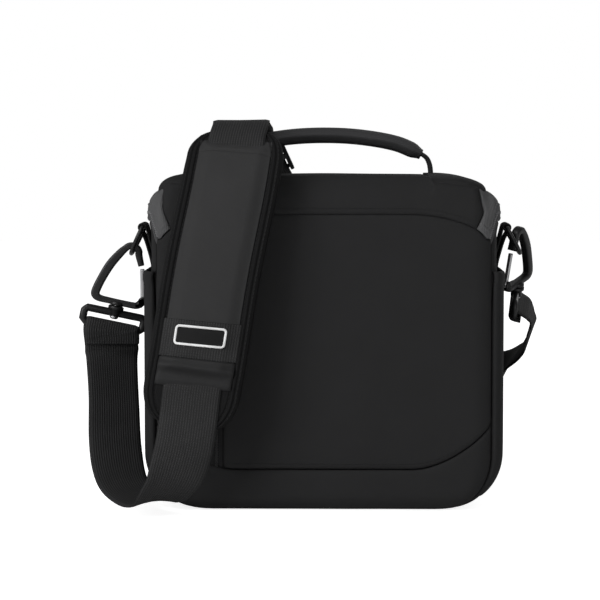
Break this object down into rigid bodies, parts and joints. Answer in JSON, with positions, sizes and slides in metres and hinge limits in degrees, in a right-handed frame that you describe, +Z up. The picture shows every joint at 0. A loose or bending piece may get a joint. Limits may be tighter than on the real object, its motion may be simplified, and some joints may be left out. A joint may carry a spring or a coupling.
{
  "type": "carry_case",
  "caption": "Black padded carry case for a small telescope, with a zipped lid, a top handle, side pockets and a clip-on shoulder strap with a pad.",
  "frame": {"origin": "On the floor under the middle of the padded walls of the case.", "axes": "X to the right seen from the front, Y to the back, Z up."},
  "size_m": [0.3247, 0.2237, 0.2612],
  "materials": {
    "shell_fabric": "matt black woven nylon",
    "gusset_fabric": "dark grey zip gusset cloth",
    "zip_tape": "ribbed zip tape with a moulded coil",
    "lining_fabric": "brushed grey lining",
    "base_board": "plain stiffening board",
    "webbing": "black ribbed nylon webbing",
    "grip_fabric": "smooth black fabric with a soft sheen",
    "pad_fabric": "close knitted black padding",
    "label_patch": "blank black patch with a pale printed border",
    "slider_metal": "black coated zip slider",
    "pull_plastic": "moulded black plastic",
    "hook_metal": "satin dark grey coating",
    "bright_steel": "bright sprung steel"
  },
  "bodies": {
    "case": {"base_panel": "shell_fabric", "base_board": "base_board", "inner_lining": "lining_fabric", "front_wall": "shell_fabric", "back_wall": "shell_fabric", "left_wall": "shell_fabric", "right_wall": "shell_fabric", "front_pocket_panel": "shell_fabric", "front_side_panel": "shell_fabric", "front_lower_panel": "shell_fabric", "pocket_zip_tape": "zip_tape", "left_side_pocket": "shell_fabric", "right_side_pocket": "shell_fabric", "left_tab": "webbing", "right_tab": "webbing", "body_zip_tape": "zip_tape", "strap_front_webbing": "webbing", "strap_over_webbing": "webbing", "strap_end_webbing": "webbing", "shoulder_pad": "pad_fabric", "pad_cover": "pad_fabric", "pad_label_band": "webbing", "pad_label": "label_patch", "pad_keeper": "grip_fabric"},
    "lid": {"lid_panel": "shell_fabric", "lid_lining": "lining_fabric", "lid_front_flap": "shell_fabric", "lid_gusset": "gusset_fabric", "lid_saddle": "shell_fabric", "lid_zip_tape": "zip_tape", "left_handle_strap": "webbing", "right_handle_strap": "webbing"},
    "handle": {"handle_grip": "grip_fabric"},
    "left_lid_slider": {"left_lid_slider": "slider_metal"},
    "left_lid_pull": {"left_lid_pull": "pull_plastic"},
    "right_lid_slider": {"right_lid_slider": "slider_metal"},
    "right_lid_pull": {"right_lid_pull": "pull_plastic"},
    "pocket_slider": {"pocket_slider": "slider_metal"},
    "pocket_pull": {"pocket_pull": "pull_plastic"},
    "divider": {"divider": "lining_fabric"},
    "left_strap_end": {"left_ring": "hook_metal", "left_strap_loop": "hook_metal"},
    "left_hook": {"left_hook": "hook_metal", "left_hook_stud": "bright_steel", "left_gate_pin": "bright_steel"},
    "left_gate": {"left_gate": "bright_steel"},
    "right_strap_end": {"right_ring": "hook_metal", "right_strap_loop": "hook_metal"},
    "right_hook": {"right_hook": "hook_metal", "right_hook_stud": "bright_steel", "right_gate_pin": "bright_steel"},
    "right_gate": {"right_gate": "bright_steel"},
    "strap_adjuster": {"strap_adjuster": "pull_plastic"}
  },
  "joints": [
    {"name": "lid_hinge", "type": "hinge", "parent": "case", "child": "lid", "pos_m": [0, -0.0778, 0.1994], "axis": [1, 0, 0], "range_deg": [0, 100], "deforming": ["strap_over_webbing", "shoulder_pad", "pad_cover", "pad_label_band", "pad_label", "pad_keeper"]},
    {"name": "handle_swing", "type": "hinge", "parent": "lid", "child": "handle", "pos_m": [0, 0, 0.223], "axis": [1, 0, 0], "range_deg": [-28, 28], "deforming": ["left_handle_strap", "right_handle_strap"]},
    {"name": "left_lid_zip", "type": "slide", "parent": "case", "child": "left_lid_slider", "axis": [-1, 0, 0], "range_m": [0, 0.018]},
    {"name": "left_lid_pull_swing", "type": "hinge", "parent": "left_lid_slider", "child": "left_lid_pull", "pos_m": [-0.074, 0.0799, 0.2005], "axis": [1, 0, 0], "range_deg": [0, 120]},
    {"name": "right_lid_zip", "type": "slide", "parent": "case", "child": "right_lid_slider", "axis": [1, 0, 0], "range_m": [0, 0.15]},
    {"name": "right_lid_pull_swing", "type": "hinge", "parent": "right_lid_slider", "child": "right_lid_pull", "pos_m": [-0.062, 0.0799, 0.2005], "axis": [1, 0, 0], "range_deg": [0, 120]},
    {"name": "pocket_zip", "type": "slide", "parent": "case", "child": "pocket_slider", "axis": [0, 0, -1], "range_m": [0, 0.135]},
    {"name": "pocket_pull_swing", "type": "hinge", "parent": "pocket_slider", "child": "pocket_pull", "pos_m": [-0.0715, -0.082, 0.178], "axis": [-1, 0, 0], "range_deg": [0, 18]},
    {"name": "divider_slide", "type": "slide", "parent": "case", "child": "divider", "axis": [1, 0, 0], "range_m": [-0.05, 0.03]},
    {"name": "left_ring_swing", "type": "hinge", "parent": "case", "child": "left_strap_end", "pos_m": [-0.126, 0, 0.187], "axis": [0, 1, 0], "range_deg": [0, 40], "deforming": ["strap_front_webbing"]},
    {"name": "left_hook_swivel", "type": "hinge", "parent": "left_strap_end", "child": "left_hook", "pos_m": [-0.14581, 0, 0.12994], "axis": [0.2251, 0, 0.9743], "range_deg": [-17, 17]},
    {"name": "left_gate_swing", "type": "hinge", "parent": "left_hook", "child": "left_gate", "pos_m": [-0.12672, 0, 0.13528], "axis": [0, -1, 0], "range_deg": [0, 22], "stiffness_Nm_per_rad": 0.02, "springref_deg": -8.59},
    {"name": "right_ring_swing", "type": "hinge", "parent": "case", "child": "right_strap_end", "pos_m": [0.126, 0, 0.187], "axis": [0, -1, 0], "range_deg": [0, 40], "deforming": ["strap_end_webbing"]},
    {"name": "right_hook_swivel", "type": "hinge", "parent": "right_strap_end", "child": "right_hook", "pos_m": [0.13542, 0.02076, 0.14283], "axis": [0.02, -0.3498, 0.9366], "range_deg": [-3, 6]},
    {"name": "right_gate_swing", "type": "hinge", "parent": "right_hook", "child": "right_gate", "pos_m": [0.12641, 0.00354, 0.14673], "axis": [-0.8483, 0.4898, 0.2011], "range_deg": [0, 22], "stiffness_Nm_per_rad": 0.02, "springref_deg": -8.59},
    {"name": "adjuster_slide", "type": "slide", "parent": "lid", "child": "strap_adjuster", "axis": [0.3548, 0.4669, -0.81], "range_m": [-0.006, 0.008]}
  ]
}
